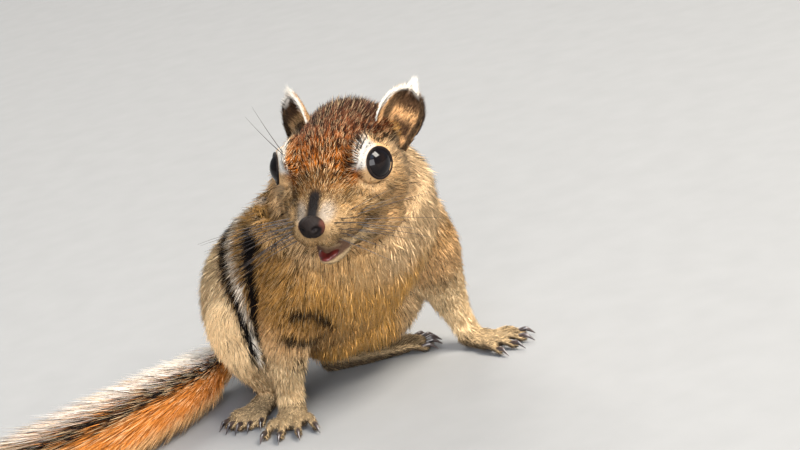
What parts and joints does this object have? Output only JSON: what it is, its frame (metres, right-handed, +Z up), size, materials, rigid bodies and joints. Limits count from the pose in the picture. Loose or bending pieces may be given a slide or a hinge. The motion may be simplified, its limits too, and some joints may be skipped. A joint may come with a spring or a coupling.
{
  "type": "chipmunk",
  "caption": "Life-size model of a chipmunk crouched with its forefeet set wide, its head turned and its bushy tail laid on the floor.",
  "frame": {"origin": "centre of the bounding box at floor level", "axes": "+Z up; the body faces -Y, its left side is at +X, and the tail runs out towards -X"},
  "size_m": [0.1512, 0.0794, 0.0777],
  "materials": {
    "fur_rust": "ticked short fur",
    "fur_brown": "short fur",
    "fur_buff": "short fur",
    "fur_cream": "short fur",
    "fur_orange": "long bushy fur",
    "eye": "wet gloss"
  },
  "bodies": {
    "root": {"head": "fur_rust", "neck": "fur_brown", "torso": "fur_brown", "ear_right": "fur_brown", "ear_left": "fur_brown", "foreleg_upper_right": "fur_brown", "foreleg_upper_left": "fur_brown", "hindleg_right": "fur_buff", "hindleg_left": "fur_buff", "foreleg_lower_right": "fur_buff", "foreleg_lower_left": "fur_buff", "lower_jaw": "fur_cream", "forefoot_right": "fur_cream", "forefoot_left": "fur_cream", "hindfoot_right": "fur_cream", "hindfoot_left": "fur_cream", "tail": "fur_orange", "eye_right": "eye", "eye_left": "eye"}
  },
  "joints": []
}
